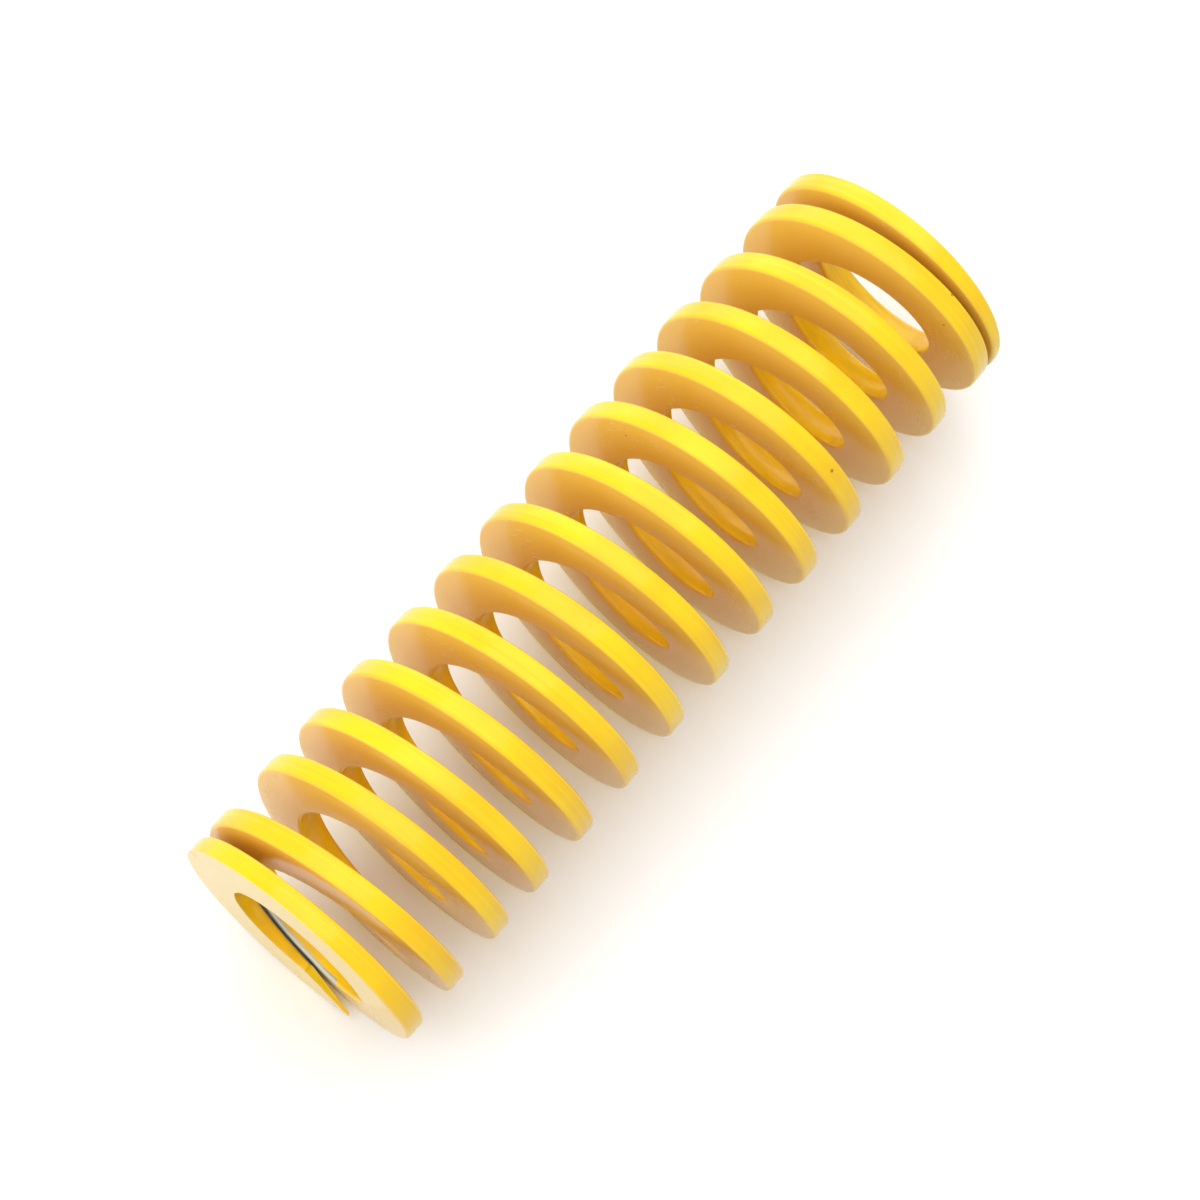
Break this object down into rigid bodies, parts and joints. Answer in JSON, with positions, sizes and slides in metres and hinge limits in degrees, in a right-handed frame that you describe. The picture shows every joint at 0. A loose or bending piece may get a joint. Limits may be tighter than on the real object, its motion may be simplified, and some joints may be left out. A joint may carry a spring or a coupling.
{
  "type": "die spring",
  "caption": "Helical compression die spring wound from keystone-section wire, with closed and ground ends and an open bore.",
  "frame": {"origin": "centre of the lower ground face, on the coil axis", "axes": "+Z along the coil axis, up through the bore; +X through the tip of the wire at the upper end"},
  "size_m": [0.0298, 0.0298, 0.1],
  "materials": {
    "spring_paint": "gloss yellow paint over spring steel"
  },
  "bodies": {
    "root": {"die_spring": "spring_paint"}
  },
  "joints": []
}
